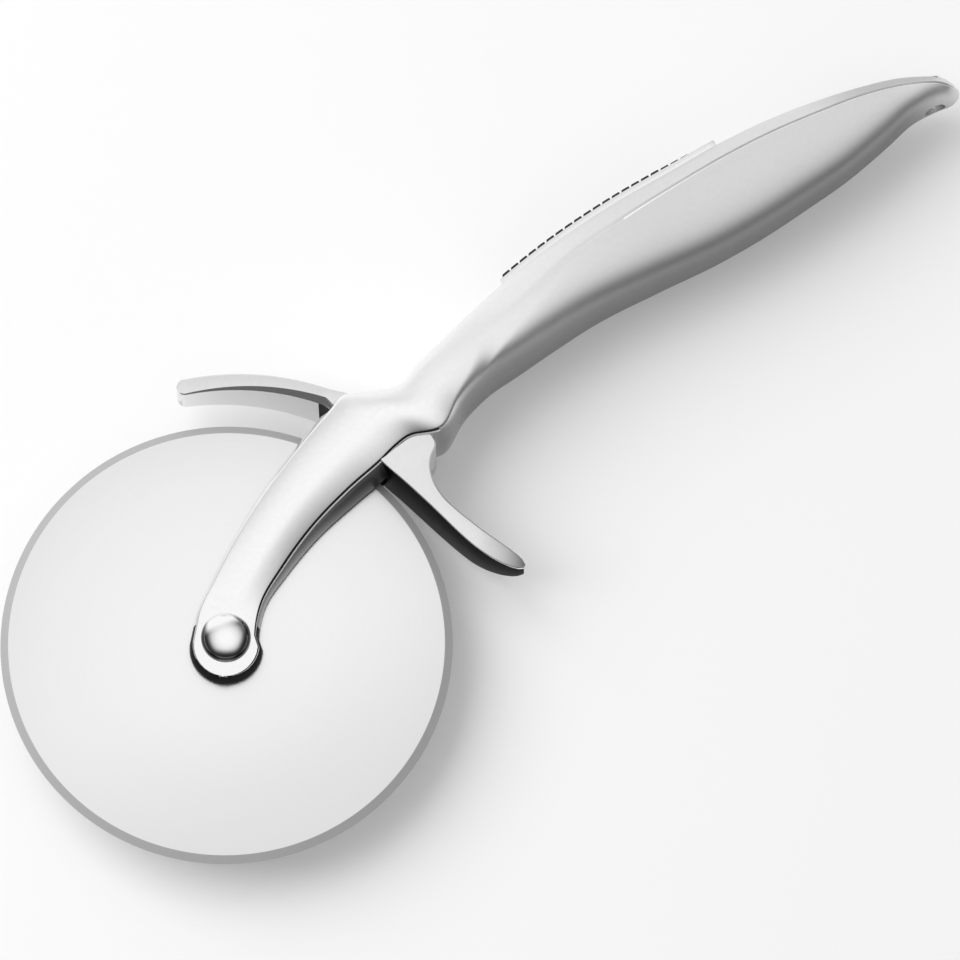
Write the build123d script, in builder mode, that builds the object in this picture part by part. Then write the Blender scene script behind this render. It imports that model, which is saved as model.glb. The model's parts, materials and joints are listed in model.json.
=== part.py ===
from build123d import *
from math import asin, atan2, cos, degrees, hypot, radians, sin
import os

# A pizza cutter lying on its side: +Z is the axle, the handle runs towards +X and +Y.
# Everything is drawn about the axle first, then moved so that the origin is on the
# surface that the cutter lies on, under the middle of its box. Millimetres.

# Wheel
wheel_diameter = 101.6
blade_thickness = 2.0
bevel_width = 1.8
edge_land = 0.2
hub_hole_diameter = 8.0

# Hub: two flanged bushes in the blade, washers against the arms
axle_diameter = 5.0
running_clearance = 0.06
seat_clearance = 0.02
bush_flange_diameter = 11.0
bush_flange_thickness = 0.5
washer_thickness = 0.4
end_float = 0.05

# Axle: a barrel with a domed head in front, a screw with the same head behind
head_diameter = 11.2
head_rim = 1.2
head_rise = 2.1
spot_face_clearance = 0.3
axle_thread_diameter = 3.0
barrel_floor = 1.0
hex_key = 3.0
hex_depth = 1.6
barrel_end_gap = 0.4

# Fork: two arms that join beyond the wheel's rim
hub_face = 5.4
fork_face = 12.2
arm_width = 15.0
rim_gap = 1.8
boss_face_radius = 7.3
boss_bulge = 0.9
boss_drop = 1.4

# Finger guard: a bar that crosses the yoke, with a wing on each side of the wheel
guard_gap = 6.9
guard_bar = 3.7
guard_half_depth = 10.4
guard_tip_half_depth = 5.0
tongue_half_depth = 4.0
tongue_seat = 2.2
tongue_root_seat = 1.0
tongue_eye_diameter = 7.0
guard_clearance = 0.1

# Handle
handle_length = 140.0
handle_width = 24.0
handle_face = 13.0
shell_wall = 2.4

# Thumb grip: a rubber pad in a thin metal frame, let into the spine
grip_half_width = 5.5
grip_depth = 1.5
grip_base_proud = 0.3
rib_height = 1.3
rib_count = 22
rib_gap = 0.6
frame_wall = 1.0
frame_proud = 0.45
pocket_clearance = 0.05

# Hanging eyelet through the flat tail
eyelet_bore = 5.0
eyelet_wall = 0.7
eyelet_lip_width = 0.8
eyelet_lip_thickness = 0.6

# Fasteners: socket screws from behind, dowels on the seam
screw_diameter = 3.0
screw_head_diameter = 5.5
screw_head_height = 3.0
screw_key = 2.5
screw_key_depth = 1.3
screw_boss_diameter = 9.0
screw_recess = 1.2
screw_end_cover = 2.2
dowel_diameter = 3.0
dowel_length = 10.0
dowel_boss_diameter = 7.0
dowel_end_gap = 0.2

# One overrun for every cut that has to pass through
overrun = 5.0

wheel_radius = wheel_diameter / 2
flange_face = blade_thickness / 2 + bush_flange_thickness
slot_half = flange_face + end_float + washer_thickness
slot_radius = wheel_radius + rim_gap
guard_inner = wheel_radius + guard_gap
arm_reach = guard_inner + guard_bar
neck_x_share, neck_y_share = 0.775, 0.950
neck_x = arm_reach * neck_x_share
neck_y = arm_reach * neck_y_share

# Stations of the fork's arm, as shares: place x and y of the reach, lean of the run in
# degrees, left and right half widths of the arm's width, and height between hub and
# fork. Then the swell of the left wall, the swell of the right wall and the crown of
# the face, as shares of the arm's width.
arm_shares = (
    (-0.003, 0.008, 80, 0.453, 0.453, 0.00, 0.060, 0.060, 0.002),
    (0.005, 0.072, 77, 0.440, 0.440, 0.01, 0.060, 0.060, 0.004),
    (0.038, 0.171, 68, 0.393, 0.407, 0.12, 0.060, 0.060, 0.025),
    (0.119, 0.321, 59, 0.407, 0.420, 0.30, 0.080, 0.093, 0.050),
    (0.225, 0.480, 52, 0.433, 0.447, 0.48, 0.113, 0.133, 0.065),
    (0.360, 0.637, 48, 0.480, 0.493, 0.70, 0.133, 0.167, 0.075),
    (0.471, 0.749, 46, 0.533, 0.547, 0.88, 0.133, 0.167, 0.080),
    (0.524, 0.801, 45, 0.547, 0.547, 0.94, 0.120, 0.160, 0.080),
    (0.577, 0.824, 45, 0.467, 0.487, 0.97, 0.107, 0.147, 0.080),
    (0.712, 0.858, 46, 0.447, 0.460, 1.00, 0.100, 0.133, 0.080),
)

# Stations of the handle, as shares: place x and y of the handle's length from the neck,
# lean in degrees, spine edge across and up, crease across and up, swell of the spine
# and drop of the belly below the crease, of the handle's width or face height, and the
# crown between spine edge and crease.
handle_shares = (
    (0.000, 0.000, 49.0, 0.250, 0.92, -0.267, 0.88, 0.062, 0.079, 0.050),
    (0.039, 0.042, 45.5, 0.242, 0.88, -0.200, 0.92, 0.062, 0.133, 0.038),
    (0.081, 0.081, 41.5, 0.267, 0.81, -0.062, 0.97, 0.058, 0.288, 0.021),
    (0.147, 0.135, 37.5, 0.312, 0.69, 0.025, 0.99, 0.050, 0.412, 0.012),
    (0.216, 0.186, 34.5, 0.346, 0.62, 0.125, 0.98, 0.046, 0.538, 0.010),
    (0.314, 0.246, 31.0, 0.396, 0.58, 0.192, 0.95, 0.042, 0.650, 0.008),
    (0.414, 0.301, 29.7, 0.425, 0.55, 0.246, 0.91, 0.042, 0.733, 0.008),
    (0.488, 0.345, 30.0, 0.429, 0.54, 0.254, 0.88, 0.042, 0.742, 0.008),
    (0.561, 0.389, 30.0, 0.400, 0.52, 0.233, 0.84, 0.042, 0.692, 0.008),
    (0.636, 0.431, 29.5, 0.346, 0.50, 0.196, 0.78, 0.038, 0.596, 0.008),
    (0.710, 0.474, 28.5, 0.246, 0.48, 0.129, 0.71, 0.033, 0.429, 0.008),
    (0.761, 0.501, 24.0, 0.158, 0.46, 0.054, 0.65, 0.033, 0.267, 0.006),
    (0.789, 0.509, 17.0, 0.121, 0.45, 0.029, 0.63, 0.033, 0.208, 0.005),
    (0.816, 0.514, 12.0, 0.096, 0.38, 0.012, 0.54, 0.029, 0.158, 0.004),
    (0.838, 0.512, 6.0, 0.067, 0.25, 0.008, 0.35, 0.021, 0.104, 0.004),
    (0.848, 0.511, 4.0, 0.025, 0.09, 0.004, 0.13, 0.008, 0.038, 0.002),
)
slope_limit_share = 0.17
steep_knee_share, round_knee_share = 0.66, 0.80
knee_drop_share = 0.74


def arm_station(shares):
    """Sizes of one arm section: place, lean, spine edge, crease, swells and crown."""
    x, y, lean, left, right, rise, left_swell, right_swell, crown = shares
    height = hub_face + (fork_face - hub_face) * rise
    return dict(
        x=arm_reach * x, y=arm_reach * y, lean=lean,
        edge=(arm_width * left, height), crease=(-arm_width * right, height),
        swell=arm_width * left_swell, drop=arm_width * right_swell,
        crown=arm_width * crown, knee=steep_knee_share,
    )


def handle_station(shares):
    """The same for one handle section."""
    x, y, lean, edge, edge_up, crease, crease_up, swell, drop, crown = shares
    round_belly = drop > slope_limit_share
    return dict(
        x=neck_x + handle_length * x, y=neck_y + handle_length * y, lean=lean,
        edge=(handle_width * edge, handle_face * edge_up),
        crease=(handle_width * crease, handle_face * crease_up),
        swell=handle_width * swell, drop=handle_width * drop,
        crown=handle_width * crown,
        knee=round_knee_share if round_belly else steep_knee_share,
    )


arm_stations = [arm_station(row) for row in arm_shares]
handle_stations = [handle_station(row) for row in handle_shares]
body_stations = arm_stations + handle_stations

# The stations that the cavity and the thumb grip run through, counted from the neck
before_cavity_count, before_grip_count = 2, 3
cavity_count, grip_count = 9, 5
cavity_stations = handle_stations[before_cavity_count:before_cavity_count + cavity_count]
grip_stations = handle_stations[before_grip_count:before_grip_count + grip_count]


def station_plane(place):
    """Plane across the run: its X points to the spine, its Y is up."""
    lean = radians(place["lean"])
    return Plane(
        origin=(place["x"], place["y"], 0),
        x_dir=(-sin(lean), cos(lean), 0),
        z_dir=(cos(lean), sin(lean), 0),
    )


def station_point(place, across):
    """Point on the seam, across the run by a distance towards the spine."""
    lean = radians(place["lean"])
    return (place["x"] - sin(lean) * across, place["y"] + cos(lean) * across)


def body_form(places, inset):
    """The outer form, or one drawn in by a wall, lofted through its sections.

    A steep wall below the crease moves in with the crease, a round belly only below it.
    """
    with BuildPart() as form:
        for place in places:
            edge_across, edge_up = place["edge"][0] - inset, place["edge"][1] - inset
            crease_across, crease_up = place["crease"][0], place["crease"][1] - inset
            spine = edge_across + place["swell"]
            belly = place["crease"][0] - place["drop"] + inset
            knee_across = place["crease"][0] - place["drop"] * knee_drop_share + inset
            if place["knee"] == steep_knee_share:
                crease_across = crease_across + inset
            knee_up = crease_up * place["knee"]
            run, fall = edge_across - crease_across, crease_up - edge_up
            slant = hypot(run, fall)
            crown_across = (edge_across + crease_across) / 2 + fall / slant * place["crown"]
            crown_up = (edge_up + crease_up) / 2 + run / slant * place["crown"]
            with BuildSketch(station_plane(place)):
                with BuildLine():
                    ThreePointArc((edge_across, -edge_up), (spine, 0), (edge_across, edge_up))
                    ThreePointArc(
                        (edge_across, edge_up), (crown_across, crown_up), (crease_across, crease_up)
                    )
                    Spline(
                        (crease_across, crease_up), (knee_across, knee_up), (belly, 0),
                        (knee_across, -knee_up), (crease_across, -crease_up),
                    )
                    ThreePointArc(
                        (crease_across, -crease_up), (crown_across, -crown_up), (edge_across, -edge_up)
                    )
                make_face()
        loft()
    return form.part


def upright(x, y, bottom, top, diameter):
    """A round bar along Z, for bosses, screws and their holes."""
    with BuildPart() as bar:
        with BuildSketch(Plane.XY.offset(bottom)):
            with Locations((x, y)):
                Circle(diameter / 2)
        extrude(amount=top - bottom)
    return bar.part


# Wheel: blade with a ground bevel on both sides, and its two bushes

with BuildPart() as blade:
    with BuildSketch(Plane.XZ):
        with BuildLine():
            Polyline(
                (hub_hole_diameter / 2, -blade_thickness / 2),
                (wheel_radius - bevel_width, -blade_thickness / 2),
                (wheel_radius, -edge_land / 2),
                (wheel_radius, edge_land / 2),
                (wheel_radius - bevel_width, blade_thickness / 2),
                (hub_hole_diameter / 2, blade_thickness / 2),
                close=True,
            )
        make_face()
    revolve(axis=Axis.Z)

bush_bore = axle_diameter / 2 + running_clearance
bush_sleeve = hub_hole_diameter / 2 - seat_clearance

with BuildPart() as front_bush:
    with BuildSketch(Plane.XY):
        Circle(bush_sleeve)
        Circle(bush_bore, mode=Mode.SUBTRACT)
    extrude(amount=blade_thickness / 2)
    with BuildSketch(Plane.XY.offset(blade_thickness / 2)):
        Circle(bush_flange_diameter / 2)
        Circle(bush_bore, mode=Mode.SUBTRACT)
    extrude(amount=bush_flange_thickness)

with BuildPart() as rear_bush:
    add(front_bush.part.mirror(Plane.XY))

# Washers that take up the gap between bushes and arms

with BuildPart() as front_washer:
    with BuildSketch(Plane.XY.offset(slot_half - washer_thickness)):
        Circle(bush_flange_diameter / 2)
        Circle(axle_diameter / 2 + seat_clearance, mode=Mode.SUBTRACT)
    extrude(amount=washer_thickness)

with BuildPart() as rear_washer:
    add(front_washer.part.mirror(Plane.XY))

# Axle barrel and axle screw, each with a domed head

head_radius = head_diameter / 2
head_seat = hub_face
rim_top = head_seat + head_rim
dome_top = rim_top + head_rise
dome_radius = (head_radius ** 2 + head_rise ** 2) / (2 * head_rise)
dome_half_turn = asin(head_radius / dome_radius) / 2
dome_middle_across = dome_radius * sin(dome_half_turn)
dome_middle_up = dome_top - dome_radius * (1 - cos(dome_half_turn))
barrel_end = -head_seat + barrel_end_gap
thread_radius = axle_thread_diameter / 2
thread_end = head_seat - barrel_floor

with BuildPart() as axle_barrel:
    with BuildSketch(Plane.XZ):
        with BuildLine():
            Polyline(
                (0, thread_end), (thread_radius, thread_end), (thread_radius, barrel_end),
                (axle_diameter / 2, barrel_end), (axle_diameter / 2, head_seat),
                (head_radius, head_seat), (head_radius, rim_top),
            )
            ThreePointArc(
                (head_radius, rim_top), (dome_middle_across, dome_middle_up), (0, dome_top)
            )
            Line((0, dome_top), (0, thread_end))
        make_face()
    revolve(axis=Axis.Z)

screw_thread = thread_radius - seat_clearance
screw_tip = thread_end - barrel_end_gap

with BuildPart() as axle_screw:
    with BuildSketch(Plane.XZ):
        with BuildLine():
            Polyline(
                (0, screw_tip), (screw_thread, screw_tip), (screw_thread, -head_seat),
                (head_radius, -head_seat), (head_radius, -rim_top),
            )
            ThreePointArc(
                (head_radius, -rim_top), (dome_middle_across, -dome_middle_up), (0, -dome_top)
            )
            Line((0, -dome_top), (0, screw_tip))
        make_face()
    revolve(axis=Axis.Z)
    with BuildSketch(Plane.XY.offset(-dome_top - overrun)):
        RegularPolygon(hex_key / 2, side_count=6, major_radius=False)
    extrude(amount=overrun + hex_depth, mode=Mode.SUBTRACT)

# Screw and dowel places on the seam, with the height of the form over each


def stand(x, y, height):
    """A fastener's place on the seam and how far up the form reaches there."""
    return dict(x=x, y=y, height=height)


yoke_screw_shares = (0.555, 0.751)
cover_share = 0.96
middle_screw_station, tail_screw_station = handle_stations[5], handle_stations[9]
screw_stands = [
    stand(
        arm_reach * yoke_screw_shares[0], arm_reach * yoke_screw_shares[1], fork_face * cover_share
    )
] + [
    stand(place["x"], place["y"], place["crease"][1] * cover_share)
    for place in (middle_screw_station, tail_screw_station)
]
dowel_stations = [handle_stations[3], handle_stations[7]]
dowel_half_length = dowel_length / 2

with BuildPart() as shell_screws:
    for place in screw_stands:
        seat = screw_recess + screw_head_height - place["height"]
        tip = place["height"] - screw_end_cover
        add(upright(place["x"], place["y"], seat - screw_head_height, seat, screw_head_diameter))
        add(upright(place["x"], place["y"], seat, tip, screw_diameter - 2 * seat_clearance))
        with BuildSketch(Plane.XY.offset(seat - screw_head_height)):
            with Locations((place["x"], place["y"])):
                RegularPolygon(screw_key / 2, side_count=6, major_radius=False)
        extrude(amount=screw_key_depth, mode=Mode.SUBTRACT)

with BuildPart() as locating_dowels:
    for place in dowel_stations:
        add(
            upright(
                place["x"], place["y"], -dowel_half_length, dowel_half_length,
                dowel_diameter - 2 * seat_clearance,
            )
        )

# Finger guard: plan outline at the seam, then its depth tapers to both tips

left_tip_turn, left_root_turn = 99.5, 68.0
left_middle_turn = (left_tip_turn + left_root_turn) / 2
guard_outer = guard_inner + guard_bar
left_round_turn = degrees(atan2(guard_bar / 2, guard_outer))


def polar(radius, turn):
    """Point about the axle."""
    return (radius * cos(radians(turn)), radius * sin(radians(turn)))


# Points of the right wing and the middle, as shares of the guard's outer radius
crotch_shares = ((0.800, 0.505), (0.757, 0.578), (0.744, 0.640), (0.752, 0.690), (0.775, 0.745))
wing_back_shares = ((1.094, 0.296), (1.000, 0.358), (0.890, 0.433))
wing_tip_shares = (1.104, 0.272)
wing_front_shares = ((1.083, 0.256), (0.967, 0.297), (0.855, 0.380), (0.707, 0.520), (0.575, 0.638))
middle_shares = ((0.465, 0.760),)
inner_back_shares = ((0.720, 0.860), (0.560, 0.905))


def placed(shares):
    """Points about the axle from shares of the guard's outer radius."""
    return [(guard_outer * x, guard_outer * y) for x, y in shares]


guard_middle = (guard_inner + guard_outer) / 2

with BuildSketch() as guard_plan:
    with BuildLine():
        under_arc = ThreePointArc(
            polar(guard_inner, left_tip_turn), polar(guard_inner, left_middle_turn),
            polar(guard_inner, left_root_turn),
        )
        back_arc = ThreePointArc(
            polar(guard_outer, left_root_turn), polar(guard_outer, left_middle_turn),
            polar(guard_outer, left_tip_turn),
        )
        ThreePointArc(
            back_arc @ 1, polar(guard_middle, left_tip_turn + left_round_turn), under_arc @ 0
        )
        front = Spline(under_arc @ 1, *placed(middle_shares), *placed(wing_front_shares)[::-1])
        back = Spline(*placed(wing_back_shares), *placed(crotch_shares))
        ThreePointArc(front @ 1, placed([wing_tip_shares])[0], back @ 0)
        Polyline(back @ 1, *placed(inner_back_shares), back_arc @ 0)
    make_face()

# The tongue joins the wings through the yoke, with an eye round the yoke screw. It starts
# in the left wing, always past the yoke's left wall, and ends past the yoke's right wall,
# seated in the right wing.

yoke_station = arm_stations[-3]
tongue_middle = (screw_stands[0]["x"], screw_stands[0]["y"])
tongue_root = polar(guard_middle, left_root_turn)
tongue_run = (tongue_middle[0] - tongue_root[0], tongue_middle[1] - tongue_root[1])
tongue_turn = degrees(atan2(tongue_run[1], tongue_run[0]))
yoke_right_wall = yoke_station["drop"] - yoke_station["crease"][0] + guard_clearance
yoke_left_wall = yoke_station["swell"] + yoke_station["edge"][0] + guard_clearance
tongue_offset = hypot(tongue_middle[0] - yoke_station["x"], tongue_middle[1] - yoke_station["y"])
tongue_extra = max(0, yoke_left_wall + tongue_offset + tongue_root_seat - hypot(*tongue_run))
tongue_start = (
    tongue_root[0] - cos(radians(tongue_turn)) * tongue_extra,
    tongue_root[1] - sin(radians(tongue_turn)) * tongue_extra,
)
tongue_length = hypot(*tongue_run) + tongue_extra + yoke_right_wall + tongue_seat
tongue_centre = (
    tongue_start[0] + cos(radians(tongue_turn)) * tongue_length / 2,
    tongue_start[1] + sin(radians(tongue_turn)) * tongue_length / 2,
)


def tongue_form(spread, end_spread):
    """The tongue, or the slot for it, with a clearance and more at the ends."""
    with BuildPart() as tongue:
        with BuildSketch():
            with Locations(Location((*tongue_centre, 0), (0, 0, tongue_turn))):
                Rectangle(tongue_length + 2 * end_spread, guard_bar + 2 * spread)
            with Locations(tongue_middle):
                Circle(tongue_eye_diameter / 2 + spread)
        extrude(amount=tongue_half_depth + spread, both=True)
    return tongue.part


chord_start = polar(guard_middle, left_tip_turn)
chord_end = placed([wing_tip_shares])[0]
chord_length = hypot(chord_end[0] - chord_start[0], chord_end[1] - chord_start[1])
chord_plane = Plane(
    origin=(chord_start[0], chord_start[1], 0),
    x_dir=(chord_end[0] - chord_start[0], chord_end[1] - chord_start[1], 0),
    z_dir=(chord_end[1] - chord_start[1], chord_start[0] - chord_end[0], 0),
)
full_from_share, full_to_share = 0.40, 0.66

outer_body = body_form(body_stations, 0)
clear_body = body_form(body_stations, -guard_clearance)

with BuildPart() as hub_boss:
    with BuildSketch(Plane.XZ):
        with BuildLine():
            Line((0, hub_face), (boss_face_radius, hub_face))
            ThreePointArc(
                (boss_face_radius, hub_face), (boss_face_radius + boss_bulge, 0),
                (boss_face_radius, -hub_face),
            )
            Line((boss_face_radius, -hub_face), (0, -hub_face))
            Line((0, -hub_face), (0, hub_face))
        make_face()
    revolve(axis=Axis.Z)

with BuildPart() as finger_guard:
    add(guard_plan.sketch)
    extrude(amount=guard_half_depth, both=True)
    with BuildSketch(chord_plane):
        with BuildLine():
            Polyline(
                (-guard_outer, -guard_tip_half_depth), (0, -guard_tip_half_depth),
                (chord_length * full_from_share, -guard_half_depth),
                (chord_length * full_to_share, -guard_half_depth),
                (chord_length, -guard_tip_half_depth), (chord_length + guard_outer, -guard_tip_half_depth),
                (chord_length + guard_outer, guard_tip_half_depth), (chord_length, guard_tip_half_depth),
                (chord_length * full_to_share, guard_half_depth),
                (chord_length * full_from_share, guard_half_depth),
                (0, guard_tip_half_depth), (-guard_outer, guard_tip_half_depth),
                close=True,
            )
        make_face()
    extrude(amount=guard_outer, both=True, mode=Mode.INTERSECT)
    add(clear_body, mode=Mode.SUBTRACT)
    add(tongue_form(0, 0))
    with BuildSketch(Plane.XY):
        with Locations(tongue_middle):
            Circle(screw_diameter / 2 + pocket_clearance)
    extrude(amount=fork_face, both=True, mode=Mode.SUBTRACT)

# Thumb grip and its frame, drawn along the spine

spine_points = [
    station_point(place, place["edge"][0] + place["swell"])
    for place in grip_stations
]
with BuildLine() as spine_line:
    Spline(*spine_points)
spine = spine_line.edges()[0]
grip_run = spine.length
outline_steps = 8


def spine_spot(distance, out):
    """Point at a distance along the spine, moved outwards from it."""
    place = spine.position_at(distance, position_mode=PositionMode.LENGTH)
    run = spine.tangent_at(distance, position_mode=PositionMode.LENGTH)
    return (place.X - run.Y * out, place.Y + run.X * out)


def spine_band(start, end, low, high, half_width):
    """A strip that follows the spine, between two heights over it."""
    steps = [start + (end - start) * step / outline_steps for step in range(outline_steps + 1)]
    with BuildPart() as band:
        with BuildSketch():
            with BuildLine():
                top = Spline(*[spine_spot(step, high) for step in steps])
                bottom = Spline(*[spine_spot(step, low) for step in steps])
                Line(top @ 0, bottom @ 0)
                Line(top @ 1, bottom @ 1)
            make_face()
        extrude(amount=half_width, both=True)
    return band.part


pad_start, pad_end = frame_wall, grip_run - frame_wall
pad_inner_start = pad_start + pocket_clearance
pad_inner_end = pad_end - pocket_clearance
rib_pitch = (pad_inner_end - pad_inner_start) / rib_count
rib_root_share = 0.5

with BuildPart() as thumb_grip:
    add(spine_band(pad_inner_start, pad_inner_end, -grip_depth, grip_base_proud, grip_half_width))
    with BuildSketch():
        for number in range(rib_count):
            rib_start = pad_inner_start + rib_pitch * number + rib_gap / 2
            rib_end = rib_start + rib_pitch - rib_gap
            with BuildLine():
                Polyline(
                    spine_spot(rib_start, grip_base_proud * rib_root_share),
                    spine_spot(rib_end, grip_base_proud * rib_root_share),
                    spine_spot(rib_end, grip_base_proud + rib_height),
                    spine_spot(rib_start, grip_base_proud + rib_height),
                    close=True,
                )
            make_face()
    extrude(amount=grip_half_width, both=True)

with BuildPart() as grip_frame:
    add(spine_band(0, grip_run, -grip_depth, frame_proud, grip_half_width + frame_wall))
    add(
        spine_band(
            pad_start, pad_end, -grip_depth - overrun, frame_proud + overrun,
            grip_half_width + pocket_clearance,
        ),
        mode=Mode.SUBTRACT,
    )

# Hanging eyelet: a lipped tube through the flat tail, square to the spine

tail_before, tail_after = handle_stations[12], handle_stations[13]


def halfway(key):
    """Mean of a size between the two tail stations."""
    return (tail_before[key] + tail_after[key]) / 2


tail_place = dict(x=halfway("x"), y=halfway("y"), lean=halfway("lean"))
tail_spine = (tail_before["edge"][0] + tail_after["edge"][0]) / 2 + halfway("swell")
tail_belly = (tail_before["crease"][0] + tail_after["crease"][0]) / 2 - halfway("drop")
tail_lean = radians(tail_place["lean"])
eyelet_plane = Plane(
    origin=(tail_place["x"], tail_place["y"], 0),
    x_dir=(0, 0, 1),
    z_dir=(-sin(tail_lean), cos(tail_lean), 0),
)
eyelet_radius = eyelet_bore / 2 + eyelet_wall
lip_radius = eyelet_radius + eyelet_lip_width
lip_seat = tail_spine - eyelet_lip_thickness / 2
lip_top = lip_seat + eyelet_lip_thickness

with BuildPart() as hang_eyelet:
    with BuildSketch(eyelet_plane.offset(tail_belly)):
        Circle(eyelet_radius)
    extrude(amount=lip_top - tail_belly)
    with BuildSketch(eyelet_plane.offset(lip_seat)):
        Circle(lip_radius)
    extrude(amount=eyelet_lip_thickness)
    with BuildSketch(eyelet_plane.offset(tail_belly)):
        Circle(eyelet_bore / 2)
    extrude(amount=lip_top - tail_belly, mode=Mode.SUBTRACT)

# Handle shells: one outer form, parted on the seam, then cut for all that they hold

bosses = [
    upright(place["x"], place["y"], -handle_face, handle_face, screw_boss_diameter)
    for place in screw_stands
] + [
    upright(place["x"], place["y"], -handle_face, handle_face, dowel_boss_diameter)
    for place in dowel_stations
]

with BuildPart() as hollow:
    add(body_form(cavity_stations, shell_wall))
    add(bosses, mode=Mode.SUBTRACT)

spot_face = head_diameter + 2 * spot_face_clearance
head_bore = screw_head_diameter + 2 * pocket_clearance
wheel_cuts = [
    upright(0, 0, -slot_half, slot_half, 2 * slot_radius),
    upright(0, 0, -fork_face, fork_face, axle_diameter + 2 * seat_clearance),
    upright(0, 0, head_seat, fork_face, spot_face),
    upright(0, 0, -fork_face, -head_seat, spot_face),
]
fastener_cuts = []
for place in screw_stands:
    seat = screw_recess + screw_head_height - place["height"]
    hole_end = place["height"] - screw_end_cover + barrel_end_gap
    fastener_cuts.append(upright(place["x"], place["y"], seat - handle_face, seat, head_bore))
    fastener_cuts.append(upright(place["x"], place["y"], seat, hole_end, screw_diameter))
for place in dowel_stations:
    hole_end = dowel_half_length + dowel_end_gap
    fastener_cuts.append(upright(place["x"], place["y"], -hole_end, hole_end, dowel_diameter))
grip_pocket = spine_band(
    -pocket_clearance, grip_run + pocket_clearance, -grip_depth - pocket_clearance,
    overrun, grip_half_width + frame_wall + pocket_clearance,
)

with BuildPart() as eyelet_seat:
    with BuildSketch(eyelet_plane.offset(tail_belly - overrun)):
        Circle(eyelet_radius + seat_clearance)
    extrude(amount=lip_top - tail_belly + 2 * overrun)
    with BuildSketch(eyelet_plane.offset(lip_seat - seat_clearance)):
        Circle(lip_radius + pocket_clearance)
    extrude(amount=overrun)

shell_cuts = [
    *wheel_cuts, hollow.part, grip_pocket, eyelet_seat.part,
    tongue_form(guard_clearance, overrun), *fastener_cuts,
]


def half_shell(side):
    """The form on one side of the seam, with its half of every cut."""
    with BuildPart() as shell:
        add(outer_body)
        add(hub_boss.part.moved(Location((0, -boss_drop, 0))))
        split(bisect_by=Plane.XY, keep=side)
        add(shell_cuts, mode=Mode.SUBTRACT)
    return shell.part


with BuildPart() as front_shell:
    add(half_shell(Keep.TOP))

with BuildPart() as rear_shell:
    add(half_shell(Keep.BOTTOM))

pieces = {
    "blade": blade,
    "front_bush": front_bush,
    "rear_bush": rear_bush,
    "front_washer": front_washer,
    "rear_washer": rear_washer,
    "axle_barrel": axle_barrel,
    "axle_screw": axle_screw,
    "front_shell": front_shell,
    "rear_shell": rear_shell,
    "finger_guard": finger_guard,
    "grip_frame": grip_frame,
    "thumb_grip": thumb_grip,
    "hang_eyelet": hang_eyelet,
    "shell_screws": shell_screws,
    "locating_dowels": locating_dowels,
}

# Move everything onto the surface, under the middle of the box

whole_box = Compound([piece.part for piece in pieces.values()]).bounding_box()
box_middle = whole_box.center()
to_base = Location((-box_middle.X, -box_middle.Y, -whole_box.min.Z))

os.makedirs("parts", exist_ok=True)
for name, piece in pieces.items():
    piece.part = piece.part.moved(to_base)
    piece.part.label = name
    export_step(piece.part, f"parts/{name}.step")

axle_place = to_base.position
eyelet_middle = eyelet_plane.offset((tail_belly + lip_top) / 2).origin + axle_place
print("axle at", axle_place)
print("eyelet middle", eyelet_middle, "axis", eyelet_plane.z_dir, "length", lip_top - tail_belly)
print("box", whole_box.size)
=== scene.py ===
import json
from math import atan2, cos, degrees, hypot, pi, radians, sin, tan

import bmesh
import bpy
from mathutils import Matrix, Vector
from mathutils.kdtree import KDTree


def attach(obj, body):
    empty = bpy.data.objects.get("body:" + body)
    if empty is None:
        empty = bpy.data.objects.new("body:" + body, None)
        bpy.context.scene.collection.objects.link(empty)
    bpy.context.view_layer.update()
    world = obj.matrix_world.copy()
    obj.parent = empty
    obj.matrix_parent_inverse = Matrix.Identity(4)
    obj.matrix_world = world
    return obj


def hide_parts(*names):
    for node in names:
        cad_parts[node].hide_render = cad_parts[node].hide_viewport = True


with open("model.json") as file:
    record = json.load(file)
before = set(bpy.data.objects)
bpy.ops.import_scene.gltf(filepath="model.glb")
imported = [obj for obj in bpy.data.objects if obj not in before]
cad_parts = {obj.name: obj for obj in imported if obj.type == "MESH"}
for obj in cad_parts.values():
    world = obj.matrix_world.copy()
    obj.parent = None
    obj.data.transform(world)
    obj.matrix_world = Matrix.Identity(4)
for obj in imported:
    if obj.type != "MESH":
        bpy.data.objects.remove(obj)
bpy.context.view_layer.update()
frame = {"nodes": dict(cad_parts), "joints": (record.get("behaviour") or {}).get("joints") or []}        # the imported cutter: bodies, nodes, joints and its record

# A pizza cutter on a pale table, seen from above. Places are millimetres from the middle
# of the axle, and toScene turns them into metres where the frame has the axle.
mm = 0.001
axle = Vector(frame["joints"][0]["pos_m"])
print("frame loaded, axle at", tuple(round(v, 5) for v in axle))


def toScene(x, y, z):
    return axle + Vector((x, y, z)) * mm


def polar(radius, turn):
    return radius * cos(radians(turn)), radius * sin(radians(turn))


def clearSelection():
    if bpy.context.object and bpy.context.object.mode != "OBJECT":
        bpy.ops.object.mode_set(mode="OBJECT")
    bpy.ops.object.select_all(action="DESELECT")


def pick(piece):
    clearSelection()
    piece.select_set(True)
    bpy.context.view_layer.objects.active = piece


def applyModifier(piece, kind, **settings):
    pick(piece)
    modifier = piece.modifiers.new(kind, kind)
    for key, value in settings.items():
        setattr(modifier, key, value)
    bpy.ops.object.modifier_apply(modifier=modifier.name)


def carve(piece, cutter):
    # cuts one closed mesh out of another and throws the cutter away
    applyModifier(piece, "BOOLEAN", object=cutter, operation="DIFFERENCE", solver="EXACT")
    bpy.data.objects.remove(cutter)


def joined(pieces):
    pick(pieces[0])
    for piece in pieces[1:]:
        piece.select_set(True)
    bpy.ops.object.join()
    return pieces[0]


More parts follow.
